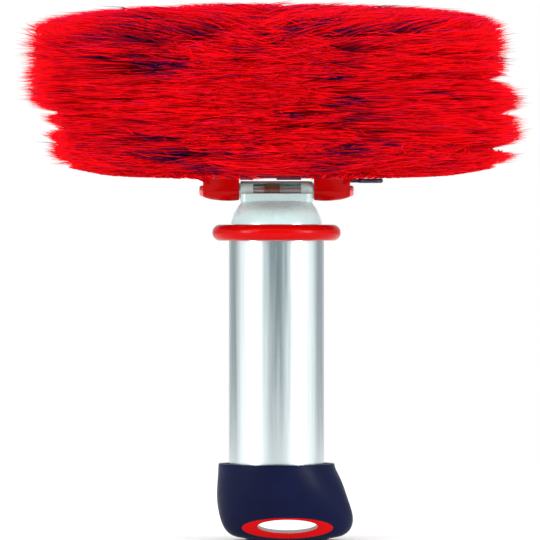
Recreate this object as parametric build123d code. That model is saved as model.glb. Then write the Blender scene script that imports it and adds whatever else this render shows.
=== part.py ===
from build123d import *
import os

# Wheel brush: a pile-covered head that tilts on a short telescopic handle.
# Millimetres, +Z up. The origin is the middle of the handle's flat foot, on the handle's axis.
# X runs along the head and along its tilt pin. Y runs from the front (negative) to the back.

# Handle tube and grip
TUBE_R = 17.5
TUBE_WALL = 1.0
TUBE_BORE_R = TUBE_R - TUBE_WALL
TUBE_FOOT_Z = 15.0
TUBE_TOP_Z = 112.2
GRIP_TOP_Z = 28.0
GRIP_LEAN = 4.0
GRIP_RIM_R = 20.2
GRIP_RIM_DEPTH = 1.2
PIN_R = 1.5
PIN_Z = 21.0

# Hanging slot and its red insert
SLOT_LENGTH = 22.0
SLOT_HEIGHT = 5.0
SLOT_Z = 5.4
INSERT_LENGTH = 33.4
INSERT_LOW_Z = 0.9
INSERT_HIGH_Z = 8.6
PLUG_HIGH_Z = 27.0
POST_LENGTH = 16.0
POST_DEPTH = 12.0

# Collar, bush and collet at the mouth of the handle tube
COLLAR_R = 23.6
COLLAR_LOW_Z = 110.0
COLLAR_HIGH_Z = 115.9
COLLAR_ROUND = 2.9
COLLAR_LIP = 0.5
BUSH_BORE_R = 15.6
BUSH_LOW_Z = 92.0
BUSH_FLANGE_R = 18.3
BUSH_FLANGE = 1.0
COLLET_R = 17.2
COLLET_SLIT = 2.0
CAM_R = 19.5

# Inner tube and neck
INNER_R = 15.5
INNER_WALL = 1.2
INNER_FOOT_Z = 33.0
NECK_LOW_Z = 116.0
SPIGOT_R = 14.25
SPIGOT_BORE_R = 11.0
SPIGOT_LOW_Z = 98.0
RIVET_Z = 105.0
GUIDE_R = 16.42
GUIDE_CAP = 3.0
GUIDE_HIGH_Z = 43.0

# Tilt pivot
PIVOT_Z = 128.3
KNUCKLE_R = 3.6
KNUCKLE_HALF = 13.25
KNUCKLE_BLOCK = (26.5, 12.5)
KNUCKLE_BLOCK_Z = 127.2
WINDOW_LEFT = -8.6
WINDOW_RIGHT = 9.0
WINDOW_LOW_Z = 127.4
WINDOW_HIGH_Z = 131.1
WINDOW_R = 2.95
PIVOT_PIN_R = 1.9
PIVOT_CLEARANCE = 0.05
PIVOT_BUSH_R = 2.6
WASHER_R = 2.9
WASHER = 0.4
EAR_R = 3.7
EAR_INNER = 13.75
EAR_CROWN = 0.3
EAR_SHOULDER = 22.0
EAR_BROW = (25.5, 2.75)
EAR_OUTER = 27.0
EAR_OUTER_R = 2.2
EAR_ROOT = 6.5
EAR_ROOT_FOOT = 23.6
EAR_TOP_Z = 134.6
RIB_REACH = 3.2
RIB_DEPTH = 2.4
RIB_GAP = 0.6
CAP_R = 2.0
CAP_SEAT = 25.0
CAP_OUTER = 28.4
CAP_ROUND = 0.9
BITE = 0.2
TILT_NOTCHES = (-35, 0, 35)

# Lock slide under the fork's plate
LOCK_HALF_WIDTH = 3.0
LOCK_LOW_Z = 131.35
LOCK_HIGH_Z = 132.65
LOCK_TRAVEL = 2.6
LOCK_REACH = 0.75
LOCK_NOSE = KNUCKLE_HALF - LOCK_REACH + LOCK_TRAVEL
NOTCH_DEPTH = 1.1
TAB_INNER = 29.8
TAB_OUTER = 39.1
TAB_WIDTH = 9.0
TAB_LOW_Z = 131.2
TAB_HIGH_Z = 132.8

# Head: fork plate, base plate, core, foam and fabric, from the pivot outwards
FORK_PLATE = (61.0, 26.0)
FORK_PLATE_LOW_Z = 132.9
BASE_LOW_Z = 134.7
BASE_HIGH_Z = 137.0
BASE_SIZE = (130.0, 56.0)
BASE_CORNER = 12.0
LUG_LOW_Z = 132.3
LUG_SPANS = ((0.0, 9.0), (-13.4, -8.6))
LUG_FRONT = -5.0
LUG_BACK = -2.4
CORE_SIZE = (124.0, 44.0)
CORE_CORNER = 10.0
CORE_HIGH_Z = 166.0
CORE_WALL = 2.5
BOSS_R = 4.0
FOAM_SIZE = (133.2, 61.2)
FOAM_CORNER = 15.5
FOAM_HIGH_Z = 182.6
SLEEVE_SIZE = (136.0, 64.0)
SLEEVE_CORNER = 16.0
SLEEVE_WALL = 1.2
SLEEVE_HIGH_Z = 184.0
COVER_LOW_Z = 133.6
HEM_SIZE = (68.0, 34.0)
HEM_WIDTH = 2.5
HEM_LOW_Z = 133.0
SCREW_R = 1.5
SCREW_HEAD_R = 2.8
SCREW_HEAD = 1.2

# Pile: panels of pointed tufts on the outside of the sleeve
PILE_HALF_X = 88.0
PILE_HALF_Y = 50.0
PILE_LOW_Z = 133.0
PILE_HIGH_Z = 197.6
PILE_GAP = 0.3
TUFT_PITCH = 9.5
TUFT_SHARE = 0.62


def disc(radius, low, high):
    """A round plate on the handle's axis."""
    return Pos(0, 0, low) * extrude(Circle(radius), high - low)


def ring(outer_r, inner_r, low, high):
    """A round wall about the handle's axis."""
    return disc(outer_r, low, high) - disc(inner_r, low, high)


def block(x_range, y_range, low, high):
    """A box between two faces along each axis."""
    size_x = x_range[1] - x_range[0]
    size_y = y_range[1] - y_range[0]
    corner = Pos(x_range[0] + size_x / 2, y_range[0] + size_y / 2, low)
    return corner * extrude(Rectangle(size_x, size_y), high - low)


def rod_x(radius, start, end, z, y=0.0):
    """A round bar along X."""
    return Plane((start, y, z), x_dir=(0, 1, 0), z_dir=(1, 0, 0)) * extrude(Circle(radius), end - start)


def slab(size, corner, low, high):
    """A plate with rounded corners in plan."""
    return Pos(0, 0, low) * extrude(RectangleRounded(size[0], size[1], corner), high - low)


def grown(size, margin):
    """A plan size made larger all round by a margin."""
    return (size[0] + 2 * margin, size[1] + 2 * margin)


def plug_post():
    """The post of the end plug, between the slot and the foot of the tube."""
    half_length = POST_LENGTH / 2
    half_depth = POST_DEPTH / 2
    return block((-half_length, half_length), (-half_depth, half_depth), INSERT_HIGH_Z, TUBE_FOOT_Z)


def slot_bar(length, low, high, reach):
    """A bar along Y with an elliptical section, through the leaning foot of the grip."""
    height = high - low
    section = Plane((GRIP_LEAN, reach, low + height / 2), x_dir=(1, 0, 0), z_dir=(0, -1, 0))
    return section * extrude(Ellipse(length / 2, height / 2), 2 * reach)


def grip_blank():
    """The outside of the grip: ovals that lean to one side and flatten towards the foot."""
    ovals = (
        (0.0, 14.6, 10.2, 0.98),
        (1.0, 18.6, 11.4, 1.0),
        (3.0, 22.4, 12.8, 1.03),
        (6.5, 24.2, 14.8, 0.98),
        (12.5, 24.4, 18.4, 0.68),
        (19.5, 23.3, 20.6, 0.36),
        (25.0, 21.9, 21.2, 0.1),
        (GRIP_TOP_Z, 21.3, 21.3, 0.0),
    )
    sections = [Pos(GRIP_LEAN * lean, 0, z) * Ellipse(half_x, half_y) for z, half_x, half_y, lean in ovals]
    return loft(sections)


def end_plug():
    """A plug in the tube's foot, with a post that carries the hanging slot's insert."""
    plug = disc(TUBE_BORE_R - 0.02, TUBE_FOOT_Z, PLUG_HIGH_Z)
    post = plug_post()
    return plug + post - plug_pins(0.02)


def plug_pins(margin=0.0):
    """Two pins that hold the plug in the tube, flush with the tube's outside."""
    right = rod_x(PIN_R + margin, 9.0, TUBE_R - 0.05 + 20 * margin, PIN_Z)
    return right + mirror(right, Plane.YZ)


def hanger_insert():
    """The red lining of the hanging slot, flush with the grip."""
    outer = slot_bar(INSERT_LENGTH, INSERT_LOW_Z, INSERT_HIGH_Z, PILE_HALF_Y)
    slot = slot_bar(SLOT_LENGTH, SLOT_Z - SLOT_HEIGHT / 2, SLOT_Z + SLOT_HEIGHT / 2, PILE_HALF_Y)
    return (outer - slot) & grip_blank()


def grip():
    """The soft grip, moulded over the tube's foot, the plug's post and the insert."""
    hollow = disc(TUBE_R + 0.02, TUBE_FOOT_Z, GRIP_TOP_Z + 1)
    rim = Pos(0, 0, GRIP_TOP_Z - GRIP_RIM_DEPTH) * extrude(Circle(TUBE_R), GRIP_RIM_DEPTH + 0.01, taper=-65)
    rim = rim & disc(GRIP_RIM_R, GRIP_TOP_Z - GRIP_RIM_DEPTH, GRIP_TOP_Z)
    post = plug_post()
    insert = slot_bar(INSERT_LENGTH, INSERT_LOW_Z, INSERT_HIGH_Z, PILE_HALF_Y)
    return grip_blank() - hollow - rim - post - insert


def outer_tube():
    """The handle's aluminium tube."""
    return ring(TUBE_R, TUBE_BORE_R, TUBE_FOOT_Z, TUBE_TOP_Z) - plug_pins(0.02)


def top_bush():
    """A flanged bush in the tube's mouth, in which the inner tube slides."""
    sleeve = ring(TUBE_BORE_R - 0.02, BUSH_BORE_R, BUSH_LOW_Z, TUBE_TOP_Z)
    return sleeve + ring(BUSH_FLANGE_R, BUSH_BORE_R, TUBE_TOP_Z, TUBE_TOP_Z + BUSH_FLANGE)


def collet():
    """A split ring that closes on the inner tube."""
    low = TUBE_TOP_Z + BUSH_FLANGE
    whole = ring(COLLET_R, BUSH_BORE_R, low, COLLAR_HIGH_Z - COLLAR_LIP - 0.15)
    return whole - block((0, COLLAR_R), (-COLLET_SLIT / 2, COLLET_SLIT / 2), low, COLLAR_HIGH_Z)


def cam_ring():
    """The cam inside the collar, which presses on the collet."""
    low = TUBE_TOP_Z + BUSH_FLANGE + 0.25
    return ring(CAM_R - 0.02, COLLET_R + 0.1, low, COLLAR_HIGH_Z - COLLAR_LIP - 0.1)


def collar():
    """The half-round twist ring."""
    body = disc(COLLAR_R, COLLAR_LOW_Z, COLLAR_HIGH_Z)
    body = fillet(body.edges().filter_by(GeomType.CIRCLE), COLLAR_ROUND)
    groove_low = TUBE_TOP_Z - 0.15
    groove_high = TUBE_TOP_Z + BUSH_FLANGE + 0.2
    body -= disc(TUBE_R + 0.1, COLLAR_LOW_Z, groove_low)
    body -= disc(BUSH_FLANGE_R + 0.3, groove_low, groove_high)
    body -= disc(CAM_R, groove_high, COLLAR_HIGH_Z - COLLAR_LIP)
    return body - disc(INNER_R + 0.3, COLLAR_HIGH_Z - COLLAR_LIP, COLLAR_HIGH_Z)


def inner_tube():
    """The tube that slides in the handle and carries the neck."""
    return ring(INNER_R, INNER_R - INNER_WALL, INNER_FOOT_Z, NECK_LOW_Z) - neck_rivets(0.02)


def guide_cap():
    """A cap on the inner tube's foot, which guides it and stops it at full reach."""
    cap = disc(GUIDE_R, INNER_FOOT_Z - GUIDE_CAP, INNER_FOOT_Z)
    spigot = ring(SPIGOT_R, SPIGOT_BORE_R, INNER_FOOT_Z, GUIDE_HIGH_Z)
    return cap + spigot


def neck_rivets(margin=0.0):
    """Two rivets that hold the neck's spigot in the inner tube, flush with the tube."""
    right = rod_x(PIN_R + margin, SPIGOT_BORE_R + 0.5, INNER_R - 0.05 + 20 * margin, RIVET_Z)
    return right + mirror(right, Plane.YZ)


def neck_shoulder():
    """The shoulder, which narrows from the round inner tube to the flat knuckle."""
    sections = (
        (NECK_LOW_Z, 33.4, 33.4, 16.4),
        (118.4, 32.4, 31.2, 15.2),
        (120.6, 30.6, 26.8, 13.0),
        (122.6, 28.2, 20.6, 9.8),
        (124.5, 25.2, 13.4, 6.2),
    )
    return loft([Pos(0, 0, z) * RectangleRounded(wide, deep, corner) for z, wide, deep, corner in sections])


def tilt_notches():
    """Radial notches in the knuckle's right face, one for each lock position."""
    notches = []
    for angle in TILT_NOTCHES:
        notch = block((KNUCKLE_HALF - NOTCH_DEPTH, KNUCKLE_HALF + 1), (-0.85, 0.85), 2.8, KNUCKLE_R + 1)
        notches.append(Pos(0, 0, PIVOT_Z) * Rot(angle, 0, 0) * notch)
    return notches


def neck():
    """The plastic neck: spigot, shoulder and knuckle, with a window on the pivot pin."""
    spigot = ring(SPIGOT_R, SPIGOT_BORE_R, SPIGOT_LOW_Z, NECK_LOW_Z)
    base = slab(KNUCKLE_BLOCK, 2.8, 124.2, KNUCKLE_BLOCK_Z)
    tongue = block((-KNUCKLE_HALF, KNUCKLE_HALF), (-KNUCKLE_R, KNUCKLE_R), 125.0, PIVOT_Z)
    knuckle = rod_x(KNUCKLE_R, -KNUCKLE_HALF, KNUCKLE_HALF, PIVOT_Z)
    body = neck_shoulder() + spigot + base + tongue + knuckle
    body -= rod_x(WINDOW_R, WINDOW_LEFT, WINDOW_RIGHT, PIVOT_Z)
    body -= block((WINDOW_LEFT, WINDOW_RIGHT), (-KNUCKLE_R - 1, 0), WINDOW_LOW_Z, WINDOW_HIGH_Z)
    body -= rod_x(PIVOT_PIN_R + PIVOT_CLEARANCE, -KNUCKLE_HALF, KNUCKLE_HALF, PIVOT_Z)
    return body - neck_rivets(0.02) - tilt_notches()


def pivot_pin():
    """The steel tilt pin, held in both ears of the fork."""
    return rod_x(PIVOT_PIN_R, -CAP_SEAT, CAP_SEAT, PIVOT_Z)


def pivot_bush():
    """A sintered bush on the pin, in the knuckle's window."""
    return rod_x(PIVOT_BUSH_R, -4.4, 1.2, PIVOT_Z) - rod_x(PIVOT_PIN_R + 0.02, -4.4, 1.2, PIVOT_Z)


def friction_washers():
    """One washer on each side of the knuckle, which hold the head where it is put."""
    start = KNUCKLE_HALF + 0.05
    right = rod_x(WASHER_R, start, start + WASHER, PIVOT_Z)
    right -= rod_x(PIVOT_PIN_R + 0.02, start, start + WASHER, PIVOT_Z)
    return right + mirror(right, Plane.YZ)


def pin_caps():
    """Caps pressed into the outer ends of the ears."""
    body = rod_x(CAP_R - 0.02, CAP_SEAT + 0.05, CAP_OUTER, PIVOT_Z)
    right = fillet(body.edges().sort_by(Axis.X)[-1], CAP_ROUND)
    return right + mirror(right, Plane.YZ)


def ear_lug():
    """A crowned lug round the pivot, which rounds off towards its outer end."""
    rim = EAR_R - EAR_CROWN
    crown = ThreePointArc((EAR_INNER, rim), ((EAR_INNER + EAR_SHOULDER) / 2, EAR_R), (EAR_SHOULDER, rim))
    brow = ThreePointArc((EAR_SHOULDER, rim), EAR_BROW, (EAR_OUTER, EAR_OUTER_R))
    rest = Polyline((EAR_OUTER, EAR_OUTER_R), (EAR_OUTER, 0), (EAR_INNER, 0), (EAR_INNER, rim))
    upright = Plane((0, 0, PIVOT_Z), x_dir=(1, 0, 0), z_dir=(0, -1, 0))
    profile = upright * make_face((crown + brow + rest).edges())
    return revolve(profile, Axis((0, 0, PIVOT_Z), (1, 0, 0)))


def ear_root():
    """The part of the ear between the pivot and the plate, which widens upwards in both directions."""
    foot = EAR_R - 2 * EAR_CROWN
    outline = Polygon(
        (-foot, PIVOT_Z),
        (foot, PIVOT_Z),
        (EAR_ROOT, FORK_PLATE_LOW_Z),
        (EAR_ROOT, EAR_TOP_Z),
        (-EAR_ROOT, EAR_TOP_Z),
        (-EAR_ROOT, FORK_PLATE_LOW_Z),
        align=None,
    )
    across = Plane((EAR_INNER, 0, 0), x_dir=(0, 1, 0), z_dir=(1, 0, 0))
    root = across * extrude(outline, EAR_OUTER - EAR_INNER)
    slant = Polygon(
        (EAR_ROOT_FOOT, PIVOT_Z - BITE),
        (EAR_OUTER + BITE, FORK_PLATE_LOW_Z),
        (EAR_OUTER + BITE, PIVOT_Z - BITE),
        align=None,
    )
    front = Plane((0, -EAR_ROOT - 1, 0), x_dir=(1, 0, 0), z_dir=(0, -1, 0))
    return root - front * extrude(slant, -2 * EAR_ROOT - 2)


def ear_rib():
    """A slanted rib that ties the front edge of the ear to the plate, beside the lock slide's tab."""
    start = EAR_ROOT_FOOT + 1
    top_z = FORK_PLATE_LOW_Z + BITE
    slope = Polygon(
        (start, FORK_PLATE_LOW_Z - RIB_DEPTH),
        (EAR_OUTER + RIB_REACH, top_z),
        (start, top_z),
        align=None,
    )
    side = Plane((0, -EAR_ROOT + BITE, 0), x_dir=(1, 0, 0), z_dir=(0, -1, 0))
    return side * extrude(slope, -(EAR_ROOT - TAB_WIDTH / 2 - RIB_GAP))


def ear():
    """The right ear: its lug, its root, two ribs and the seat of its cap."""
    rib = ear_rib()
    seat = rod_x(CAP_R, CAP_SEAT, EAR_OUTER + 1, PIVOT_Z)
    return ear_lug() + ear_root() + rib + mirror(rib, Plane.XZ) - seat


def base_lugs(margin=0.0):
    """Two lugs under the base plate, which locate it in the fork's plate."""
    depth = (LUG_FRONT - margin, LUG_BACK + margin)
    lugs = []
    for start, end in LUG_SPANS:
        lugs.append(block((start - margin, end + margin), depth, LUG_LOW_Z, BASE_LOW_Z))
    return lugs[0] + lugs[1]


def screws(spots, low, high, margin=0.0):
    """Countersunk screws that point up, at plan positions given for one quarter."""
    group = []
    for x, y in spots:
        for side_x in (-1, 1):
            for side_y in (-1, 1):
                place = Pos(side_x * x, side_y * y, low)
                shank = extrude(Circle(SCREW_R + margin), high - low + margin)
                head = extrude(Circle(SCREW_HEAD_R + margin), SCREW_HEAD + margin)
                group.append(place * (shank + head))
    return group


FORK_SCREW_SPOTS = ((23.0, 9.6),)
CORE_SCREW_SPOTS = ((52.0, 14.0),)


def fork_screws(margin=0.0):
    """Four screws that hold the fork's plate under the base plate."""
    return screws(FORK_SCREW_SPOTS, FORK_PLATE_LOW_Z, BASE_HIGH_Z + 6, margin)


def core_screws(margin=0.0):
    """Four screws that hold the base plate to the core shell."""
    return screws(CORE_SCREW_SPOTS, BASE_LOW_Z, BASE_HIGH_Z + 12, margin)


def fork():
    """The red fork: a plate with two ears."""
    plate = slab(FORK_PLATE, 5.0, FORK_PLATE_LOW_Z, BASE_LOW_Z - 0.02)
    right = ear()
    body = plate + right + mirror(right, Plane.YZ)
    body -= rod_x(PIVOT_PIN_R, -CAP_SEAT, CAP_SEAT, PIVOT_Z)
    tunnel_half = LOCK_HALF_WIDTH + 0.2
    tunnel_low_z = LOCK_LOW_Z - 0.15
    body -= block((EAR_INNER - 1, EAR_OUTER + 1), (-tunnel_half, tunnel_half), tunnel_low_z, FORK_PLATE_LOW_Z)
    return body - base_lugs(0.15) - fork_screws(0.05)


def base_plate():
    """The navy base plate of the head, with its locating lugs."""
    plate = slab(BASE_SIZE, BASE_CORNER, BASE_LOW_Z, BASE_HIGH_Z)
    return plate + base_lugs() - fork_screws(0.05) - core_screws(0.05)


def core_shell():
    """The hollow core on the base plate, with a boss for each screw."""
    outer = slab(CORE_SIZE, CORE_CORNER, BASE_HIGH_Z, CORE_HIGH_Z)
    inner_size = grown(CORE_SIZE, -CORE_WALL)
    body = outer - slab(inner_size, CORE_CORNER - CORE_WALL, BASE_HIGH_Z, CORE_HIGH_Z - CORE_WALL)
    for x, y in CORE_SCREW_SPOTS + FORK_SCREW_SPOTS:
        for side_x in (-1, 1):
            for side_y in (-1, 1):
                place = Pos(side_x * x, side_y * y, BASE_HIGH_Z)
                body += place * extrude(Circle(BOSS_R), CORE_HIGH_Z - BASE_HIGH_Z)
    return body - fork_screws(0.05) - core_screws(0.05)


def foam_pad():
    """The foam over the core."""
    outer = slab(FOAM_SIZE, FOAM_CORNER, BASE_HIGH_Z + 0.1, FOAM_HIGH_Z)
    return outer - slab(grown(CORE_SIZE, 0.2), CORE_CORNER, BASE_HIGH_Z, CORE_HIGH_Z + 0.2)


def backing_sleeve():
    """The knitted sleeve that carries the pile, open below."""
    outer = slab(SLEEVE_SIZE, SLEEVE_CORNER, BASE_LOW_Z, SLEEVE_HIGH_Z)
    inner_size = grown(SLEEVE_SIZE, -SLEEVE_WALL)
    inner = slab(inner_size, SLEEVE_CORNER - SLEEVE_WALL, BASE_LOW_Z, SLEEVE_HIGH_Z - SLEEVE_WALL)
    return outer - inner


def underside_cover():
    """The fabric turned in under the base plate, with an opening for the fork."""
    outer = slab(SLEEVE_SIZE, SLEEVE_CORNER, COVER_LOW_Z, BASE_LOW_Z - 0.05)
    return outer - slab(grown(HEM_SIZE, 0.1), 8.0, COVER_LOW_Z, BASE_LOW_Z)


def hem_band():
    """The sewn hem round the opening for the fork."""
    outer = slab(HEM_SIZE, 8.0, HEM_LOW_Z, BASE_LOW_Z - 0.05)
    return outer - slab(grown(HEM_SIZE, -HEM_WIDTH), 6.0, HEM_LOW_Z, BASE_LOW_Z)


def lock_slide():
    """The navy lock slide: a flat bar through the right ear, with a thumb tab and a nose."""
    width = (-LOCK_HALF_WIDTH, LOCK_HALF_WIDTH)
    bar = block((LOCK_NOSE + 2, TAB_INNER + 1), width, LOCK_LOW_Z, LOCK_HIGH_Z)
    nose = block((LOCK_NOSE, LOCK_NOSE + 2.5), (-0.6, 0.6), LOCK_LOW_Z, LOCK_HIGH_Z)
    length = TAB_OUTER - TAB_INNER
    tab = slab((length, TAB_WIDTH), length * 0.3, TAB_LOW_Z, TAB_HIGH_Z)
    tab = fillet(tab.edges().filter_by(Plane.XY), 0.6)
    return bar + nose + Pos(TAB_INNER + length / 2, 0, 0) * tab


def wedge(pitch, depth, length):
    """A V-shaped parting along Y whose bottom edge lies on z = 0."""
    overshoot = 1.0 + 1.0 / depth
    half = pitch / 2 * overshoot
    outline = Polygon((0, 0), (half, depth * overshoot), (-half, depth * overshoot), align=None)
    return Plane((0, length / 2, 0), x_dir=(1, 0, 0), z_dir=(0, -1, 0)) * extrude(outline, length)


def tufted_panel(length, width, height, corner, taper):
    """A pile panel that lies on z = 0 and ends in pointed tufts."""
    panel = extrude(RectangleRounded(length, width, corner), height, taper=taper)
    depth = height * TUFT_SHARE
    cuts = []
    across = max(2, round(length / TUFT_PITCH))
    along = max(2, round(width / TUFT_PITCH))
    for i in range(across + 1):
        place = Pos(length * (i / across - 0.5), 0, height - depth)
        cuts.append(place * wedge(length / across, depth, width + 4))
    for i in range(along + 1):
        place = Pos(0, width * (i / along - 0.5), height - depth) * Rot(0, 0, 90)
        cuts.append(place * wedge(width / along, depth, length + 4))
    return panel - cuts


def pile_panels():
    """The five panels of pile, named, each on its face of the sleeve."""
    face_x = SLEEVE_SIZE[0] / 2 + PILE_GAP
    face_y = SLEEVE_SIZE[1] / 2 + PILE_GAP
    face_z = SLEEVE_HIGH_Z + PILE_GAP
    side_high = PILE_HIGH_Z - 3.0
    middle_z = (PILE_LOW_Z + side_high) / 2
    wide = tufted_panel(2 * PILE_HALF_X - 12, side_high - PILE_LOW_Z, PILE_HALF_Y - face_y, 18.0, 24)
    end = tufted_panel(SLEEVE_SIZE[1] - 0.4, side_high - PILE_LOW_Z - 4, PILE_HALF_X - face_x, 12.0, 16)
    top = tufted_panel(SLEEVE_SIZE[0] - 0.4, SLEEVE_SIZE[1] - 0.4, PILE_HIGH_Z - face_z, 12.0, 16)
    return {
        "pile_front": Plane((0, -face_y, middle_z), x_dir=(1, 0, 0), z_dir=(0, -1, 0)) * wide,
        "pile_back": Plane((0, face_y, middle_z), x_dir=(-1, 0, 0), z_dir=(0, 1, 0)) * wide,
        "pile_left": Plane((-face_x, 0, middle_z), x_dir=(0, -1, 0), z_dir=(-1, 0, 0)) * end,
        "pile_right": Plane((face_x, 0, middle_z), x_dir=(0, 1, 0), z_dir=(1, 0, 0)) * end,
        "pile_top": Pos(0, 0, face_z) * top,
    }


SINGLE_PIECES = (
    grip,
    hanger_insert,
    end_plug,
    plug_pins,
    outer_tube,
    top_bush,
    collet,
    collar,
    cam_ring,
    inner_tube,
    guide_cap,
    neck,
    neck_rivets,
    pivot_pin,
    pivot_bush,
    friction_washers,
    pin_caps,
    fork,
    fork_screws,
    base_plate,
    core_shell,
    core_screws,
    foam_pad,
    backing_sleeve,
    underside_cover,
    hem_band,
    lock_slide,
)

nodes = {make.__name__: make() for make in SINGLE_PIECES}
nodes.update(pile_panels())

os.makedirs("parts", exist_ok=True)
for name, shape in nodes.items():
    solids = shape if isinstance(shape, list) else shape.solids()
    export_step(Compound(children=list(solids)) if len(solids) > 1 else solids[0], f"parts/{name}.step")
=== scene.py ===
import bpy
import math
import numpy as np
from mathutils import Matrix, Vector


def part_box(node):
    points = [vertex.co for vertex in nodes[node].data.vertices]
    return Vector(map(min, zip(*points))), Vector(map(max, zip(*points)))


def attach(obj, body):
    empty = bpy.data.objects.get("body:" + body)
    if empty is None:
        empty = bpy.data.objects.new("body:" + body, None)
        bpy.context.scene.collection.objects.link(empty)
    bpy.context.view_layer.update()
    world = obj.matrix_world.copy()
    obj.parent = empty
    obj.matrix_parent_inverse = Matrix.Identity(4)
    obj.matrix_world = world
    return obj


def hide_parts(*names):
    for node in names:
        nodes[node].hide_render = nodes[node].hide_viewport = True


# Looks of the wheel brush, in metres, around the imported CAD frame.
# X runs along the head, -Y is the front and +Z is up the handle.

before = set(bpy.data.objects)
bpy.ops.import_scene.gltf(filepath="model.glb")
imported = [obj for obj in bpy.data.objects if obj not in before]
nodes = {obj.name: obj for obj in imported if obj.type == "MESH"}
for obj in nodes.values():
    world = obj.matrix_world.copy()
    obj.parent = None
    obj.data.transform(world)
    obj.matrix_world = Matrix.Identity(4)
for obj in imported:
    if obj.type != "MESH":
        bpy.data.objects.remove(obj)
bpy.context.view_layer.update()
SEED = 7
rng = np.random.default_rng(SEED)

# Where things are, from the frame
HEAD_LOW, HEAD_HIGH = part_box("backing_sleeve")
PILE_LOW_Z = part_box("pile_front")[0].z
PILE_HIGH_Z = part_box("pile_top")[1].z
PILE_HALF_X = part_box("pile_right")[1].x
PILE_HALF_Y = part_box("pile_back")[1].y
COLLAR_LOW, COLLAR_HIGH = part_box("collar")
COVER_LOW, COVER_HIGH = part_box("underside_cover")
HEM_LOW, HEM_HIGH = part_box("hem_band")

# Camera
EYE_Z = (COLLAR_LOW.z + COLLAR_HIGH.z) / 2
EYE_DISTANCE = 2.4
AIM_X = -0.0024
AIM_Z = 0.0992
FRAME_WIDTH = 0.1987
SENSOR = 36.0


# ---------------------------------------------------------------- materials

# The middle part of a noise pattern, over which a roughness or a colour goes from one value to the other
ROUGHNESS_SPAN = (0.3, 0.7)
COLOR_SPAN = (0.32, 0.68)


def new_material(name, color, roughness, metallic=0.0):
    """A principled material with its plain values set on the shader."""
    material = bpy.data.materials.new(name)
    material.use_nodes = True
    shader = material.node_tree.nodes["Principled BSDF"]
    shader.inputs["Base Color"].default_value = (*color, 1.0)
    shader.inputs["Roughness"].default_value = roughness
    shader.inputs["Metallic"].default_value = metallic
    return material, shader


def noise(material, scale, detail=3.0, stretch=(1.0, 1.0, 1.0)):
    """Noise on the object's own coordinates, finer along the axes with a larger stretch."""
    tree = material.node_tree
    place = tree.nodes.new("ShaderNodeTexCoord")
    mapping = tree.nodes.new("ShaderNodeMapping")
    mapping.inputs["Scale"].default_value = stretch
    texture = tree.nodes.new("ShaderNodeTexNoise")
    texture.inputs["Scale"].default_value = scale
    texture.inputs["Detail"].default_value = detail
    tree.links.new(place.outputs["Object"], mapping.inputs["Vector"])
    tree.links.new(mapping.outputs["Vector"], texture.inputs["Vector"])
    return texture.outputs["Fac"]


def map_range(tree, source, span, to=(0.0, 1.0)):
    """Turns values over a span into values between the two of to."""
    node = tree.nodes.new("ShaderNodeMapRange")
    node.inputs["From Min"].default_value = span[0]
    node.inputs["From Max"].default_value = span[1]
    node.inputs["To Min"].default_value = to[0]
    node.inputs["To Max"].default_value = to[1]
    tree.links.new(source, node.inputs["Value"])
    return node.outputs["Result"]


def vary_roughness(material, shader, source, low, high):
    """Lets the roughness follow a pattern between two values."""
    result = map_range(material.node_tree, source, ROUGHNESS_SPAN, (low, high))
    material.node_tree.links.new(result, shader.inputs["Roughness"])


def vary_color(material, shader, source, first, second):
    """Lets the colour follow a pattern between two colours."""
    ramp = material.node_tree.nodes.new("ShaderNodeValToRGB")
    for element, position, color in zip(ramp.color_ramp.elements, COLOR_SPAN, (first, second)):
        element.position = position
        element.color = (*color, 1.0)
    material.node_tree.links.new(source, ramp.inputs["Fac"])
    material.node_tree.links.new(ramp.outputs["Color"], shader.inputs["Base Color"])


def add_bump(material, shader, source, distance, strength=1.0):
    """Raises the surface by a pattern, to a height in metres."""
    bump = material.node_tree.nodes.new("ShaderNodeBump")
    bump.inputs["Distance"].default_value = distance
    bump.inputs["Strength"].default_value = strength
    material.node_tree.links.new(source, bump.inputs["Height"])
    material.node_tree.links.new(bump.outputs["Normal"], shader.inputs["Normal"])


def moulded(name, first, second, roughness, coat, specular=0.5, grain=0.00002):
    """Moulded plastic: a faint flow mottle, an uneven gloss, a fine grain and, above 0, a clear coat."""
    material, shader = new_material(name, first, roughness)
    shader.inputs["Specular IOR Level"].default_value = specular
    vary_color(material, shader, noise(material, 60.0), first, second)
    vary_roughness(material, shader, noise(material, 240.0), roughness * 0.85, roughness * 1.2)
    add_bump(material, shader, noise(material, 2600.0, 2.0), grain, 0.5)
    shader.inputs["Coat Weight"].default_value = coat
    shader.inputs["Coat Roughness"].default_value = 0.12
    return material


def soft_rubber():
    """The grip's soft navy rubber."""
    material, shader = new_material("grip_rubber", (0.003, 0.005, 0.026), 0.5)
    vary_color(material, shader, noise(material, 45.0), (0.0024, 0.004, 0.021), (0.0036, 0.0056, 0.030))
    vary_roughness(material, shader, noise(material, 500.0), 0.32, 0.44)
    add_bump(material, shader, noise(material, 3200.0, 4.0), 0.00002, 0.5)
    shader.inputs["Specular IOR Level"].default_value = 0.06
    return material


def satin_aluminium():
    """Anodised tube with fine draw lines along its length."""
    material, shader = new_material("satin_aluminium", (0.67, 0.73, 0.74), 0.2, 1.0)
    lines = noise(material, 900.0, 4.0, (1.0, 1.0, 0.02))
    vary_color(material, shader, lines, (0.67, 0.73, 0.74), (0.72, 0.78, 0.79))
    vary_roughness(material, shader, lines, 0.18, 0.26)
    add_bump(material, shader, lines, 0.00002, 0.35)
    return material


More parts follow.
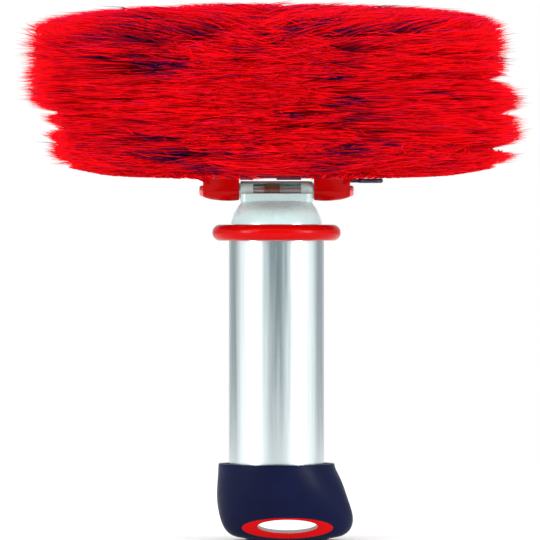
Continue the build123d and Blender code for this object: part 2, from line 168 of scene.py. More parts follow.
def turned_metal(name, color, roughness):
    """Steel or bronze with turning marks round the X axis."""
    material, shader = new_material(name, color, roughness, 1.0)
    marks = noise(material, 1500.0, 2.0, (1.0, 0.05, 0.05))
    vary_color(material, shader, marks, tuple(0.85 * c for c in color), color)
    vary_roughness(material, shader, marks, roughness * 0.8, roughness * 1.3)
    add_bump(material, shader, marks, 0.00002, 0.4)
    return material


def knit(name, color, second):
    """Knitted backing fabric: ribs crossed by slanted courses."""
    material, shader = new_material(name, color, 0.85)
    tree = material.node_tree
    place = tree.nodes.new("ShaderNodeTexCoord")
    both = tree.nodes.new("ShaderNodeMath")
    both.operation = "MULTIPLY"
    for socket, (direction, scale, distortion) in enumerate((("X", 260.0, 1.5), ("DIAGONAL", 320.0, 1.0))):
        wave = tree.nodes.new("ShaderNodeTexWave")
        wave.bands_direction = direction
        wave.inputs["Scale"].default_value = scale
        wave.inputs["Distortion"].default_value = distortion
        tree.links.new(place.outputs["Object"], wave.inputs["Vector"])
        tree.links.new(wave.outputs["Fac"], both.inputs[socket])
    vary_color(material, shader, both.outputs["Value"], color, second)
    add_bump(material, shader, both.outputs["Value"], 0.0003, 0.8)
    shader.inputs["Specular IOR Level"].default_value = 0.1
    return material


def open_foam():
    """Dark open-cell foam."""
    material, shader = new_material("open_foam", (0.09, 0.09, 0.10), 0.9)
    cells = noise(material, 900.0, 6.0)
    vary_color(material, shader, cells, (0.04, 0.04, 0.045), (0.13, 0.13, 0.14))
    add_bump(material, shader, cells, 0.0006)
    return material


# Tones of the strands. The rose tone is a painted sheen: the pink light that shines through the strands'
# tips. The crimson tone also serves as painted shade, at the roots and in the shaded places.
PILE_TONES = (
    ("pile_painted_sheen", (0.80, 0.003, 0.055)),
    ("pile_bright", (0.90, 0.001, 0.005)),
    ("pile_red", (0.78, 0.001, 0.005)),
    ("pile_deep", (0.54, 0.001, 0.006)),
    ("pile_crimson", (0.30, 0.001, 0.014)),
    ("pile_navy", (0.016, 0.002, 0.036)),
)
PAINTED_SHEEN, BRIGHT, RED, DEEP, CRIMSON, NAVY = range(len(PILE_TONES))
TONE_SHARES = (0.44, 0.33, 0.23)


def pile_materials():
    """One material for each tone of the strands, with a fibre grain."""
    made = []
    for name, color in PILE_TONES:
        material, shader = new_material(name, color, 0.6)
        vary_roughness(material, shader, noise(material, 700.0, 2.0), 0.5, 0.7)
        add_bump(material, shader, noise(material, 4000.0, 2.0), 0.00005, 0.5)
        shader.inputs["Specular IOR Level"].default_value = 0.04
        made.append(material)
    return made


def dress(material, *names):
    """Gives carried-over CAD nodes a material."""
    for name in names:
        mesh = nodes[name].data
        mesh.materials.clear()
        mesh.materials.append(material)


def dress_cad_nodes():
    """Materials of all the CAD nodes that stay."""
    red = moulded("gloss_red", (0.43, 0.0003, 0.0006), (0.46, 0.0006, 0.0012), 0.22, 0.0, 0.08, 0.000004)
    navy = moulded("navy_plastic", (0.010, 0.012, 0.040), (0.016, 0.018, 0.056), 0.4, 0.1)
    grey = moulded("grey_plastic", (0.59, 0.79, 0.77), (0.61, 0.81, 0.79), 0.27, 0.35)
    pale = moulded("pale_nylon", (0.66, 0.66, 0.63), (0.74, 0.74, 0.71), 0.5, 0.0)
    rosy = moulded("cap_plastic", (0.80, 0.10, 0.12), (0.86, 0.16, 0.18), 0.3, 0.3)
    dress(soft_rubber(), "grip")
    dress(red, "collar", "fork", "hanger_insert", "end_plug")
    dress(rosy, "pin_caps")
    dress(satin_aluminium(), "outer_tube", "inner_tube")
    dress(grey, "neck")
    dress(pale, "top_bush", "collet", "cam_ring", "guide_cap", "friction_washers")
    dress(navy, "base_plate", "core_shell", "lock_slide")
    steel = turned_metal("turned_steel", (0.80, 0.80, 0.79), 0.45)
    dress(steel, "pivot_pin", "plug_pins", "neck_rivets", "fork_screws", "core_screws")
    dress(turned_metal("sintered_bronze", (0.42, 0.26, 0.19), 0.45), "pivot_bush")
    dress(open_foam(), "foam_pad")


# ---------------------------------------------------------------- meshes

def link(mesh, name):
    """Puts a mesh into the scene as an object."""
    piece = bpy.data.objects.new(name, mesh)
    bpy.context.scene.collection.objects.link(piece)
    return piece


def superellipse(turn, power):
    """Points of a rounded square with half sides of 1, at these angles."""
    wave_x = np.sign(np.cos(turn)) * np.abs(np.cos(turn)) ** (2 / power)
    wave_y = np.sign(np.sin(turn)) * np.abs(np.sin(turn)) ** (2 / power)
    return np.column_stack([wave_x, wave_y])


def oval_ring(half_x, half_y, z, power, count):
    """Points of a rounded rectangle in plan."""
    ring = superellipse(np.linspace(0, 2 * math.pi, count, endpoint=False), power)
    return np.column_stack([ring * (half_x, half_y), np.full(count, z)])


def fabric_piece(name, points, faces, material):
    """A smooth mesh that rides on the head and takes the backing's finish."""
    mesh = bpy.data.meshes.new(name)
    mesh.from_pydata(points.tolist(), [], faces)
    mesh.polygons.foreach_set("use_smooth", [True] * len(mesh.polygons))
    mesh.materials.append(material)
    piece = link(mesh, name)
    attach(piece, "head")
    return piece


def ring_faces(rows, count, first=0):
    """Quads between rings that follow each other."""
    faces = []
    for row in range(rows - 1):
        for i in range(count):
            here = first + row * count + i
            beside = first + row * count + (i + 1) % count
            faces.append((here, beside, beside + count, here + count))
    return faces


BAG_SIDES = 128
BAG_WALL = 0.0011
BAG_GAP = 0.0004
BAG_POWER = 4.5
OPENING_POWER = 4.0
BAG_FLOOR_RINGS = 7
BAG_FLOOR_REACH = (0.96, 0.94)
BAG_FLOOR_CROWN = 0.0007
BAG_FOOT_RINGS = ((0.982, 0.0014), (0.992, 0.0030))
BAG_SIDE_ANGLES = (-14, 88, 16)
BAG_SHOULDER_POWERS = (0.32, 0.45)


def bag_rings(half, middle_z):
    """Rings of the bag's outside: its crowned floor from the opening out, its foot, then its side and top."""
    floor_z = COVER_LOW.z
    opening = np.array([HEM_HIGH.x, HEM_HIGH.y])
    edge = half[:2] * BAG_FLOOR_REACH
    rings = []
    for share in np.linspace(0.0, 1.0, BAG_FLOOR_RINGS):
        wide, deep = opening + (edge - opening) * share
        rings.append(oval_ring(wide, deep, floor_z + BAG_FLOOR_CROWN * share**3, OPENING_POWER, BAG_SIDES))
    for out, rise in BAG_FOOT_RINGS:
        rings.append(oval_ring(half[0] * out, half[1] * out, floor_z + rise, BAG_POWER, BAG_SIDES))
    out_power, up_power = BAG_SHOULDER_POWERS
    for angle in np.radians(np.linspace(*BAG_SIDE_ANGLES)):
        out = math.cos(angle) ** out_power
        up = math.copysign(abs(math.sin(angle)) ** up_power, angle)
        rings.append(oval_ring(half[0] * out, half[1] * out, middle_z + half[2] * up, BAG_POWER, BAG_SIDES))
    return rings


def cover_bag():
    """The knitted bag of the pile cover: round shoulders, a crowned top and an opening below for the fork."""
    middle_z = (COVER_LOW.z + HEAD_HIGH.z) / 2
    half = np.array([HEAD_HIGH.x - BAG_GAP, HEAD_HIGH.y - BAG_GAP, (HEAD_HIGH.z - COVER_LOW.z) / 2])
    rings = bag_rings(half, middle_z)
    rows = len(rings)
    outer = np.vstack(rings)
    middle = np.array([0.0, 0.0, middle_z])
    inner = middle + (outer - middle) * (1.0 - BAG_WALL / half)
    inner_start = len(outer)
    faces = ring_faces(rows, BAG_SIDES)
    faces += [tuple(reversed(face)) for face in ring_faces(rows, BAG_SIDES, inner_start)]
    top_ring = range((rows - 1) * BAG_SIDES, rows * BAG_SIDES)
    faces.append(tuple(top_ring))
    faces.append(tuple(inner_start + i for i in reversed(top_ring)))
    for i in range(BAG_SIDES):
        beside = (i + 1) % BAG_SIDES
        faces.append((beside, i, inner_start + i, inner_start + beside))
    material = knit("navy_knit", (0.006, 0.006, 0.022), (0.022, 0.018, 0.070))
    piece = fabric_piece("cover_bag", np.vstack([outer, inner]), faces, material)
    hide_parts("backing_sleeve", "underside_cover")


HEM_SIDES = 180
HEM_AROUND = 10
HEM_STITCHES = 60
HEM_GAP = 0.0001
HEM_VALLEY = 0.84
HEM_RIDGE = 0.14


def hem_binding():
    """The rolled hem round the opening, with slanted overlock stitches."""
    thick = (HEM_HIGH.z - HEM_LOW.z) / 2 - HEM_GAP
    middle_z = (HEM_LOW.z + HEM_HIGH.z) / 2
    middle = oval_ring(HEM_HIGH.x - thick, HEM_HIGH.y - thick, middle_z, OPENING_POWER, HEM_SIDES)
    ahead = np.roll(middle, -1, axis=0) - np.roll(middle, 1, axis=0)
    ahead /= np.linalg.norm(ahead, axis=1, keepdims=True)
    up = np.array([0.0, 0.0, 1.0])
    side = np.cross(ahead, up)
    points = []
    faces = []
    for i in range(HEM_SIDES):
        ahead_start = (i + 1) % HEM_SIDES * HEM_AROUND
        for j in range(HEM_AROUND):
            angle = 2 * math.pi * j / HEM_AROUND
            ridge = 0.5 + 0.5 * math.cos(2 * math.pi * HEM_STITCHES * i / HEM_SIDES + angle)
            reach = thick * (HEM_VALLEY + HEM_RIDGE * ridge)
            points.append(middle[i] + reach * (math.cos(angle) * side[i] + math.sin(angle) * up))
            over = (j + 1) % HEM_AROUND
            faces.append((i * HEM_AROUND + j, i * HEM_AROUND + over, ahead_start + over, ahead_start + j))
    material = knit("hem_thread", (0.010, 0.009, 0.030), (0.030, 0.028, 0.080))
    piece = fabric_piece("hem_binding", np.array(points), faces, material)
    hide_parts("hem_band")


# ---------------------------------------------------------------- pile

# The pile is combed sideways, so it is laid out in a space that is narrower along X and then drawn out.
# Roots stand on a rounded box and tips reach a larger one. A box has one power for its two ends and one
# for its section across X.
COMB = np.array([3.1, 1.0, 1.0])
ROOT_MIDDLE = np.array([0.0, 0.0, (HEAD_LOW.z + HEAD_HIGH.z) / 2])
ROOT_HALF = (np.array([HEAD_HIGH.x, HEAD_HIGH.y, (HEAD_HIGH.z - HEAD_LOW.z) / 2]) - 0.001) / COMB
ROOT_POWERS = (8.0, 8.0)
TIP_LOW_Z = PILE_LOW_Z - 0.0008
TIP_MIDDLE = np.array([0.0, 0.0, (TIP_LOW_Z + PILE_HIGH_Z) / 2])
TIP_HALF = np.array([PILE_HALF_X + 0.002, PILE_HALF_Y, (PILE_HIGH_Z - TIP_LOW_Z) / 2]) / COMB
TIP_POWERS = (11.0, 4.4)

# Tufts: how many each panel has, how they lean along the surface, sideways most of all, and how far, and how
# far short of the outer shell their tips may stay
PANEL_TUFTS = 500
TOP_EXTRA_TUFTS = 300
TUFT_REACH = 0.016
LEAN_SPREAD = (1.0, 0.8, 0.35)
LEAN_SIDEWAYS = 1.4
LEAN_AT_ENDS = 1.5
SIDE_CHOICE = 0.8
TUFT_LENGTH = (0.0036, 0.0062)
TUFT_LENGTH_AT_ENDS = 0.0026
TUFT_LENGTH_ON_TOP = 0.0060
TUFT_SHORTER_OUTWARD = 0.75
TUFT_RAGGED = (0.0012, 0.0020)
TUFT_RAGGED_BETA = (1.3, 1.8)

# Strands of a tuft: where their roots stand, how far they gather to its tip, and how they bow
TUFT_STRANDS = 24
STRAND_RADIUS = (0.00014, 0.00026)
ROOT_SPREAD = 0.0019
ROOT_SPREAD_SHAPE = (1.3, 1.2, 0.6)
GATHER = (0.55, 0.95)
STRAND_LOOSE = 0.0005
STRAND_SHORTER = 0.45
STRAND_SHORTER_BETA = (1.2, 3.0)
BELLY_RISE = (0.55, 0.85)
BELLY_RISE_ON_TOP = 0.12
BELLY_LEAN = (0.10, 0.35)

# How far the top and the foot of the pile draw in towards its two ends
TOP_CROWN = 0.0046
FOOT_CROWN = 0.0033

# The two ends: the share by which each stands further out at its foot and at its top, and the heights between
# which it goes from one to the other. A gap in them is a side, a height and a depth.
LEFT_END = (-0.050, 0.045, 0.150, 0.166)
RIGHT_END = (0.016, -0.044, 0.160, 0.172)
END_GAPS = (
    (-1, 0.1563, 0.008),
    (-1, 0.1502, 0.005),
    (1, 0.1697, 0.008),
    (1, 0.1560, 0.007),
    (1, 0.1418, 0.013),
)
GAP_HALF_HEIGHT = 0.0011

# Partings that show navy threads on the front and back: x, z, half length and share of navy strands
PARTINGS = (
    (-0.063, 0.178, 0.009, 0.9),
    (-0.050, 0.173, 0.011, 0.9),
    (-0.063, 0.185, 0.009, 0.6),
    (-0.047, 0.187, 0.011, 0.5),
    (-0.031, 0.190, 0.009, 0.6),
    (-0.010, 0.181, 0.009, 0.6),
    (-0.056, 0.146, 0.010, 0.6),
    (-0.046, 0.140, 0.009, 0.9),
    (-0.007, 0.141, 0.009, 0.4),
    (0.017, 0.190, 0.012, 0.6),
    (0.034, 0.188, 0.007, 0.95),
    (0.031, 0.180, 0.007, 0.8),
    (0.029, 0.174, 0.008, 0.8),
    (0.023, 0.169, 0.006, 0.7),
    (0.031, 0.161, 0.008, 0.5),
    (0.031, 0.154, 0.007, 0.8),
    (0.041, 0.146, 0.008, 0.5),
    (0.032, 0.142, 0.007, 0.95),
    (0.017, 0.140, 0.009, 0.4),
)
PARTING_SLIMNESS = 4.5
PARTING_DIP = 0.30
NAVY_IN_TUFT = 0.8
NAVY_ALONE = 0.6
STRAY_NAVY = 0.03

# Wider places where the pile is darker, in the same form
SHADES = (
    (-0.055, 0.182, 0.026, 0.60),
    (-0.052, 0.144, 0.018, 0.30),
    (0.000, 0.186, 0.020, 0.25),
    (0.032, 0.183, 0.016, 0.50),
    (0.034, 0.156, 0.018, 0.45),
    (0.030, 0.141, 0.014, 0.35),
)
SHADE_SLIMNESS = 2.2
STRAY_SHADED = 0.04

# Rosy tips, a painted sheen that stands for light shining through the strands along the top rim: their least
# and their greatest share of the strands, the height above which they become more common, as a share of the
# pile's half height, and how fast they do
STRAY_SHEEN = 0.04
RIM_SHEEN = 0.6
RIM_FROM = 0.8
RIM_GAIN = 2.5

# The fringe: its strands spread out from the cover's rim by a share of the way to the fringe's edge. Beyond
# the flat share, and near the head's two ends, they rise. The belly is how far along its way, on each axis,
# a strand bows.
FRINGE_STRANDS = 12400
RIM_POWER = 8.0
FRINGE_EDGE = 0.88
FRINGE_REACH = (0.05, 0.6)
FRINGE_DRAW = (1.5, 1.0)
FRINGE_SPLAY = (0.0015, 0.0045)
FRINGE_ROUND = 0.035
FRINGE_FLAT = 0.25
FRINGE_LOW_FRONT_Z = 0.1318
FRINGE_LOW_BACK_Z = 0.1330
FRINGE_RISE = 0.03
FRINGE_RISE_FROM = 0.6
FRINGE_ROOT_SPAN = (-0.0003, 0.002)
FRINGE_OUTWARD = 0.001
FRINGE_LIMIT = 0.68
FRINGE_HEIGHT_GAMMA = (1.2, 0.0005)
FRINGE_BELLY = (0.6, 0.6, 0.9)
FRINGE_NAVY = 0.02
FRINGE_SHEEN = 0.04
FRINGE_SHADED = 0.1

# Strand sections: place along the strand and share of its full radius
STRAND_STEPS = ((0.0, 0.8), (0.4, 1.0), (0.78, 0.7), (1.0, 0.0))
STRAND_SIDES = 3


def shell_reach(share, powers):
    """How far out points are, with 1 on the rounded box, and the part of it that lies across X."""
    ends, section = powers
    across = (np.abs(share[:, 1:]) ** section).sum(axis=1) ** (1 / section)
    return (np.abs(share[:, 0]) ** ends + across**ends) ** (1 / ends), across


def on_shell(points, middle, half, powers):
    """Moves points straight out from the middle, onto a rounded box."""
    away = points - middle
    reach, _ = shell_reach(away / half, powers)
    return middle + away / reach[:, None]


def shell_normal(points, middle, half, powers):
    """The outward direction of a rounded box at points on it."""
    ends, section = powers
    share = (points - middle) / half
    _, across = shell_reach(share, powers)
    slope = np.abs(share) ** (section - 1) * (across + 1e-9)[:, None] ** (ends - section)
    slope[:, 0] = np.abs(share[:, 0]) ** (ends - 1)
    normal = np.sign(share) * slope / half
    return normal / np.linalg.norm(normal, axis=1, keepdims=True)


def scatter(face, count):
    """Random root places on one face of the head."""
    flat = rng.uniform(-1.0, 1.0, (count, 2))
    level = np.ones(count)
    columns = {
        "front": (flat[:, 0], -level, flat[:, 1]),
        "back": (flat[:, 0], level, flat[:, 1]),
        "left": (-level, flat[:, 0], flat[:, 1]),
        "right": (level, flat[:, 0], flat[:, 1]),
        "top": (flat[:, 0], flat[:, 1], level),
    }[face]
    box = ROOT_MIDDLE + np.column_stack(columns) * ROOT_HALF
    return on_shell(box, ROOT_MIDDLE, ROOT_HALF, ROOT_POWERS)


def smooth(values, low, high):
    """Rises gently from 0 at low to 1 at high."""
    share = np.clip((values - low) / (high - low), 0.0, 1.0)
    return share * share * (3 - 2 * share)


def comb(roots, normal):
    """Where the tufts lean along the surface: mostly away from the middle along X, more so near the ends."""
    count = len(roots)
    place = roots[:, 0] / ROOT_HALF[0]
    lean = rng.normal(0.0, 1.0, (count, 3)) * LEAN_SPREAD
    side = np.where(rng.random(count) < 0.5 + SIDE_CHOICE * place, 1.0, -1.0)
    lean[:, 0] = side * (LEAN_SIDEWAYS + np.abs(lean[:, 0]) + LEAN_AT_ENDS * np.abs(place))
    lean -= normal * (lean * normal).sum(axis=1, keepdims=True)
    lean /= np.linalg.norm(lean, axis=1, keepdims=True)
    length = rng.uniform(*TUFT_LENGTH, count)
    length += TUFT_LENGTH_AT_ENDS * np.abs(place)
    length += TUFT_LENGTH_ON_TOP * np.abs(normal[:, 2])
    length *= 1.0 - TUFT_SHORTER_OUTWARD * np.abs(normal[:, 0])
    return lean * length[:, None]


def tuft_tips(roots):
    """Tips of the tufts, on the outer shell, with an uneven reach that is larger at the two ends."""
    normal = shell_normal(roots, ROOT_MIDDLE, ROOT_HALF, ROOT_POWERS)
    aim = on_shell(roots + normal * TUFT_REACH, TIP_MIDDLE, TIP_HALF, TIP_POWERS) + comb(roots, normal)
    tips = on_shell(aim, TIP_MIDDLE, TIP_HALF, TIP_POWERS)
    outward = shell_normal(tips, TIP_MIDDLE, TIP_HALF, TIP_POWERS)
    ragged = TUFT_RAGGED[0] + TUFT_RAGGED[1] * np.abs(outward[:, :1])
    return tips - outward * ragged * rng.beta(*TUFT_RAGGED_BETA, (len(roots), 1))


def end_gain(z, end):
    """How much further out one end of the pile stands at each height."""
    foot_gain, top_gain, low, high = end
    return foot_gain + (top_gain - foot_gain) * smooth(z, low, high)


def drawn_out(points):
    """Draws the pile out along X, crowns its top and its foot, and shapes its two uneven ends."""
    points = points * COMB
    place = points[:, 0] / (TIP_HALF[0] * COMB[0])
    height = (points[:, 2] - TIP_MIDDLE[2]) / TIP_HALF[2]
    far = place**2
    gain = np.where(place < 0, end_gain(points[:, 2], LEFT_END), end_gain(points[:, 2], RIGHT_END))
    points[:, 0] *= 1.0 + far * gain
    for side, z, depth in END_GAPS:
        near = np.exp(-(((points[:, 2] - z) / GAP_HALF_HEIGHT) ** 2))
        points[:, 0] -= side * depth * near * np.where(place * side > 0, far, 0.0)
    points[:, 2] -= far * height * np.where(height > 0, TOP_CROWN, FOOT_CROWN)
    return points


def share_near(points, spots, slimness, least):
    """How many of the strands near points belong to spots, which are longer along X by their slimness."""
    x = points[:, 0] * COMB[0]
    z = points[:, 2]
    share = np.full(len(points), least)
    for middle_x, middle_z, half_length, most in spots:
        far = ((x - middle_x) / half_length) ** 2 + ((z - middle_z) * slimness / half_length) ** 2
        share = np.maximum(share, most * np.exp(-far))
    return share


def navy_share(points):
    """How many of the strands near a point are navy."""
    return share_near(points, PARTINGS, PARTING_SLIMNESS, STRAY_NAVY)


def strand_points(roots, bellies, tips, radii):
    """Points of each tapered strand along its curve, ring by ring from the root to one point at the tip."""
    steps = np.array([step for step, _ in STRAND_STEPS])
    t = steps[None, :, None]
    path = (1 - t) ** 2 * roots[:, None] + 2 * t * (1 - t) * bellies[:, None] + t**2 * tips[:, None]
    along = tips - roots
    along /= np.linalg.norm(along, axis=1, keepdims=True)
    out = bellies - (roots + tips) / 2 + 1e-6
    side = np.cross(along, out)
    side /= np.linalg.norm(side, axis=1, keepdims=True)
    over = np.cross(side, along)
    rings = []
    for step, (_, width) in enumerate(STRAND_STEPS[:-1]):
        for corner in range(STRAND_SIDES):
            angle = 2 * math.pi * corner / STRAND_SIDES
            offset = math.cos(angle) * side + math.sin(angle) * over
            rings.append(path[:, step] + offset * (radii * width)[:, None])
    rings.append(path[:, -1])
    return np.stack(rings, axis=1)


def strand_faces():
    """The faces of one strand, and the part of it, from the root up, that each belongs to."""
    faces = [list(reversed(range(STRAND_SIDES)))]
    levels = [0]
    spans = len(STRAND_STEPS) - 2
    tip = (spans + 1) * STRAND_SIDES
    for span in range(spans):
        for corner in range(STRAND_SIDES):
            here = span * STRAND_SIDES + corner
            beside = span * STRAND_SIDES + (corner + 1) % STRAND_SIDES
            faces.append([here, beside, beside + STRAND_SIDES, here + STRAND_SIDES])
            levels.append(span)
    for corner in range(STRAND_SIDES):
        faces.append([spans * STRAND_SIDES + corner, spans * STRAND_SIDES + (corner + 1) % STRAND_SIDES, tip])
        levels.append(spans)
    return faces, levels


def strand_mesh(name, points, tones, materials):
    """All the strands in one mesh, each closed."""
    count, per_strand, _ = points.shape
    faces, levels = strand_faces()
    sizes = np.array([len(face) for face in faces])
    pattern = np.concatenate(faces)
    corners = (pattern[None, :] + per_strand * np.arange(count)[:, None]).ravel()
    starts = np.concatenate([[0], np.cumsum(np.tile(sizes, count))[:-1]])
    mesh = bpy.data.meshes.new(name)
    mesh.vertices.add(count * per_strand)
    mesh.vertices.foreach_set("co", drawn_out(points.reshape(-1, 3)).reshape(-1).astype(np.float32))
    mesh.loops.add(len(corners))
    mesh.loops.foreach_set("vertex_index", corners.astype(np.int32))
    mesh.polygons.add(count * len(faces))
    mesh.polygons.foreach_set("loop_start", starts.astype(np.int32))
    for material in materials:
        mesh.materials.append(material)
    mesh.polygons.foreach_set("material_index", tones[:, levels].reshape(-1).astype(np.int32))
    mesh.polygons.foreach_set("use_smooth", np.ones(count * len(faces), bool))
    mesh.update(calc_edges=True)
    mesh.validate()
    return mesh


def strand_tones(count, navy, rosy, shaded):
    """The tone of each strand from its root to its tip, with painted shade at the root and a painted sheen on
    rosy tips.
    """
    base = rng.choice([BRIGHT, RED, DEEP], count, p=TONE_SHARES)
    base = np.where(shaded, CRIMSON, base)
    # Painted shade: each root is one tone darker, for the shade deep in the pile.
    root = np.minimum(base + 1, CRIMSON)
    # Rosy tips take the painted sheen.
    tip = np.where(rosy, PAINTED_SHEEN, base)
    tones = np.column_stack([root, base, tip])
    tones[navy] = NAVY
    return tones


def add_strands(name, node, roots, bellies, tips, navy, rosy, shaded, materials):
    """Makes one piece of pile of these strands, which stands for a CAD node if one is named."""
    count = len(roots)
    radii = rng.uniform(*STRAND_RADIUS, count)
    tones = strand_tones(count, navy, rosy, shaded)
    piece = link(strand_mesh(name, strand_points(roots, bellies, tips, radii), tones, materials), name)
    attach(piece, "head")
    if node:
        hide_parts(node)


def tuft_strands(tuft_roots, tuft_ends, owner):
    """Roots, bellies and tips of the strands, which stand round their tuft's root and gather at its end."""
    count = len(owner)
    spread = rng.normal(0.0, ROOT_SPREAD, (count, 3)) * ROOT_SPREAD_SHAPE
    roots = on_shell(tuft_roots[owner] + spread, ROOT_MIDDLE, ROOT_HALF, ROOT_POWERS)
    gather = rng.uniform(*GATHER, (count, 1))
    loose = rng.normal(0.0, STRAND_LOOSE, (count, 3))
    tips = tuft_ends[owner] + (roots - tuft_roots[owner]) * (1 - gather) + loose
    tips += (roots - tips) * rng.beta(*STRAND_SHORTER_BETA, (count, 1)) * STRAND_SHORTER
    normal = shell_normal(roots, ROOT_MIDDLE, ROOT_HALF, ROOT_POWERS)
    rise = ((tips - roots) * normal).sum(axis=1, keepdims=True)
    across = tips - roots - normal * rise
    bend = rng.uniform(*BELLY_RISE, (count, 1)) * (1.0 - 0.5 * np.abs(normal[:, :1]))
    bend += BELLY_RISE_ON_TOP * np.abs(normal[:, 2:])
    bellies = roots + normal * rise * bend + across * rng.uniform(*BELLY_LEAN, (count, 1))
    return roots, bellies, tips


def strand_colors(tuft_ends, owner, tips):
    """Which strands are navy, which have rosy tips, a painted sheen, and which are shaded."""
    count = len(owner)
    tuft_navy = rng.random(len(tuft_ends)) < navy_share(tuft_ends)
    navy = tuft_navy[owner] & (rng.random(count) < NAVY_IN_TUFT)
    navy |= rng.random(count) < navy_share(tips) * NAVY_ALONE
    height = (tips[:, 2] - TIP_MIDDLE[2]) / TIP_HALF[2]
    # Rosy tips are a painted sheen, most of it along the top rim.
    rosy = rng.random(count) < np.clip((height - RIM_FROM) * RIM_GAIN, STRAY_SHEEN, RIM_SHEEN)
    shaded = rng.random(count) < share_near(tips, SHADES, SHADE_SLIMNESS, STRAY_SHADED)
    return navy, rosy, shaded


def pile(face, part, node, tufts, materials):
    """The strands of one panel of pile, gathered in pointed tufts."""
    tuft_roots = scatter(face, tufts)
    tuft_ends = tuft_tips(tuft_roots)
    tuft_ends += (tuft_roots - tuft_ends) * navy_share(tuft_ends)[:, None] * PARTING_DIP
    owner = np.repeat(np.arange(tufts), TUFT_STRANDS)
    roots, bellies, tips = tuft_strands(tuft_roots, tuft_ends, owner)
    navy, rosy, shaded = strand_colors(tuft_ends, owner, tips)
    add_strands(f"{face}_pile_{part}", node, roots, bellies, tips, navy, rosy, shaded, materials)


def fringe(count, materials):
    """The lowest strands, which lie along the cover's foot and hide the rim of its underside."""
    rim = superellipse(rng.uniform(0.0, 2 * math.pi, count), RIM_POWER)
    root_z = rng.uniform(COVER_HIGH.z + FRINGE_ROOT_SPAN[0], COVER_HIGH.z + FRINGE_ROOT_SPAN[1], count)
    roots = np.column_stack([rim * ROOT_HALF[:2], root_z])
    edge = rim * TIP_HALF[:2] * FRINGE_EDGE
    tips = roots.copy()
    reach = rng.uniform(*FRINGE_REACH, (count, 1))
    tips[:, :2] += (edge - roots[:, :2]) * reach * FRINGE_DRAW
    splay = rng.choice([-1.0, 1.0], count) * rng.uniform(*FRINGE_SPLAY, count)
    tips[:, 0] += splay + FRINGE_OUTWARD * np.sign(rim[:, 0])
    limit = TIP_HALF[0] * rng.uniform(FRINGE_LIMIT, FRINGE_EDGE, count)
    tips[:, 0] = np.clip(tips[:, 0], -limit, limit)
    inside = np.abs(tips[:, 0]) / TIP_HALF[0]
    low = np.where(tips[:, 1] > 0, FRINGE_LOW_BACK_Z, FRINGE_LOW_FRONT_Z)
    tips[:, 2] = low + rng.gamma(*FRINGE_HEIGHT_GAMMA, count)
    tips[:, 2] += FRINGE_RISE * np.clip(inside - FRINGE_RISE_FROM, 0.0, None) ** 2
    tips[:, 2] += FRINGE_ROUND * np.clip(reach[:, 0] - FRINGE_FLAT, 0.0, None) ** 2
    bellies = roots + (tips - roots) * FRINGE_BELLY
    navy = rng.random(count) < FRINGE_NAVY
    # A few rosy tips, a painted sheen, here as well.
    rosy = rng.random(count) < FRINGE_SHEEN
    shaded = rng.random(count) < FRINGE_SHADED
    add_strands("fringe", None, roots, bellies, tips, navy, rosy, shaded, materials)


def all_pile():
    """All five panels of pile, and the fringe below them."""
    materials = pile_materials()
    for part in (1, 2):
        for face in ("front", "back"):
            pile(face, part, f"pile_{face}" if part == 1 else None, PANEL_TUFTS, materials)
    pile("top", 1, "pile_top", PANEL_TUFTS, materials)
    pile("top", 2, None, TOP_EXTRA_TUFTS, materials)
    for face in ("left", "right"):
        pile(face, 1, f"pile_{face}", PANEL_TUFTS, materials)
    fringe(FRINGE_STRANDS, materials)


# ---------------------------------------------------------------- studio

FLOOR_HALF = 0.8
FLOOR_GAP = 0.0002


def floor():
    """A plain pale floor, a hair below the foot."""
    mesh = bpy.data.meshes.new("floor")
    corners = [(x * FLOOR_HALF, y * FLOOR_HALF, 0.0) for x, y in ((-1, -1), (1, -1), (1, 1), (-1, 1))]
    mesh.from_pydata(corners, [], [(0, 1, 2, 3)])
    material, shader = new_material("pale_floor", (0.90, 0.90, 0.90), 0.9)
    shader.inputs["Specular IOR Level"].default_value = 0.0
    mesh.materials.append(material)
    ground = link(mesh, "floor")
    ground.location.z = -FLOOR_GAP


# Soft square lights: name, place, height that they face on the handle's axis, side and power
LIGHTS = (
    ("key", (-0.95, -0.75, 0.75), 0.14, 0.8, 7.4),
    ("fill", (1.0, -0.7, 0.65), 0.14, 0.8, 6.0),
    ("low_left", (-0.93, -0.62, 0.28), 0.12, 0.34, 6.0),
    ("low_right", (0.93, -0.62, 0.28), 0.12, 0.34, 6.0),
)


def area_light(name, place, aim_z, side, power):
    """A soft square light that faces a point on the handle's axis."""
    data = bpy.data.lights.new(name, "AREA")
    data.shape = "SQUARE"
    data.size = side
    data.energy = power
    lamp = bpy.data.objects.new(name, data)
    bpy.context.scene.collection.objects.link(lamp)
    lamp.location = place
    lamp.rotation_euler = (Vector((0, 0, aim_z)) - Vector(place)).to_track_quat("-Z", "Y").to_euler()


# The light round the object, by how far along Y it comes from: straight in front is -1, straight behind is 1.
# Between the two heights of SKY_SPAN, as sines of the elevation, it gives way to the light above.
WALL = (
    (-1.00, (0.16, 0.22, 0.24)),
    (-0.95, (0.25, 0.33, 0.35)),
    (-0.74, (1.12, 1.15, 1.15)),
    (0.10, (1.10, 1.13, 1.13)),
    (0.48, (0.32, 0.36, 0.38)),
    (0.80, (0.40, 0.44, 0.46)),
    (1.00, (0.80, 0.82, 0.82)),
)
SKY = (1.1, 1.1, 1.1)
SKY_SPAN = (0.28, 0.55)


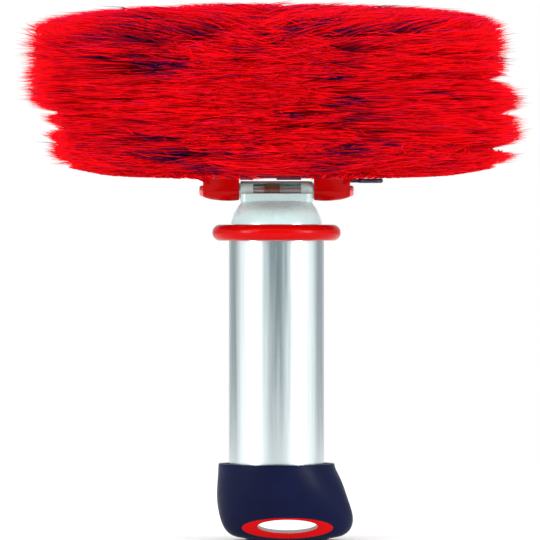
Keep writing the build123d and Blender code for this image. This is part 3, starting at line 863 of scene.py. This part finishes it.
def studio_world():
    """White for the camera, and a studio of light walls and a bright ceiling for everything else."""
    world = bpy.data.worlds.new("studio")
    bpy.context.scene.world = world
    world.use_nodes = True
    tree = world.node_tree
    tree.nodes.clear()
    output = tree.nodes.new("ShaderNodeOutputWorld")
    rays = tree.nodes.new("ShaderNodeLightPath")
    cast = tree.nodes.new("ShaderNodeBackground")
    seen = tree.nodes.new("ShaderNodeBackground")
    seen.inputs["Color"].default_value = (1.0, 1.0, 1.0, 1.0)
    place = tree.nodes.new("ShaderNodeTexCoord")
    split = tree.nodes.new("ShaderNodeSeparateXYZ")
    tree.links.new(place.outputs["Generated"], split.inputs["Vector"])
    ramp = tree.nodes.new("ShaderNodeValToRGB")
    while len(ramp.color_ramp.elements) < len(WALL):
        ramp.color_ramp.elements.new(0.5)
    for element, (along_y, color) in zip(ramp.color_ramp.elements, WALL):
        element.position = (along_y + 1) / 2
        element.color = (*color, 1.0)
    tree.links.new(map_range(tree, split.outputs["Y"], (-1.0, 1.0)), ramp.inputs["Fac"])
    blend = tree.nodes.new("ShaderNodeMixRGB")
    blend.inputs["Color2"].default_value = (*SKY, 1.0)
    tree.links.new(map_range(tree, split.outputs["Z"], SKY_SPAN), blend.inputs["Fac"])
    tree.links.new(ramp.outputs["Color"], blend.inputs["Color1"])
    tree.links.new(blend.outputs["Color"], cast.inputs["Color"])
    choose = tree.nodes.new("ShaderNodeMixShader")
    tree.links.new(rays.outputs["Is Camera Ray"], choose.inputs["Fac"])
    tree.links.new(cast.outputs["Background"], choose.inputs[1])
    tree.links.new(seen.outputs["Background"], choose.inputs[2])
    tree.links.new(choose.outputs["Shader"], output.inputs["Surface"])


def camera():
    """Eye level at the collar, straight in front, 2.4 m away."""
    data = bpy.data.cameras.new("camera")
    data.sensor_width = SENSOR
    data.lens = SENSOR * EYE_DISTANCE / FRAME_WIDTH
    eye = bpy.data.objects.new("camera", data)
    bpy.context.scene.collection.objects.link(eye)
    eye.location = (AIM_X, -EYE_DISTANCE, EYE_Z)
    eye.rotation_euler = (Vector((AIM_X, 0.0, AIM_Z)) - eye.location).to_track_quat("-Z", "Y").to_euler()
    bpy.context.scene.camera = eye


def studio():
    """Floor, lights, surround and camera."""
    floor()
    studio_world()
    for light in LIGHTS:
        area_light(*light)
    camera()
    bpy.context.scene.view_settings.view_transform = "Standard"


dress_cad_nodes()
cover_bag()
hem_binding()
all_pile()
studio()
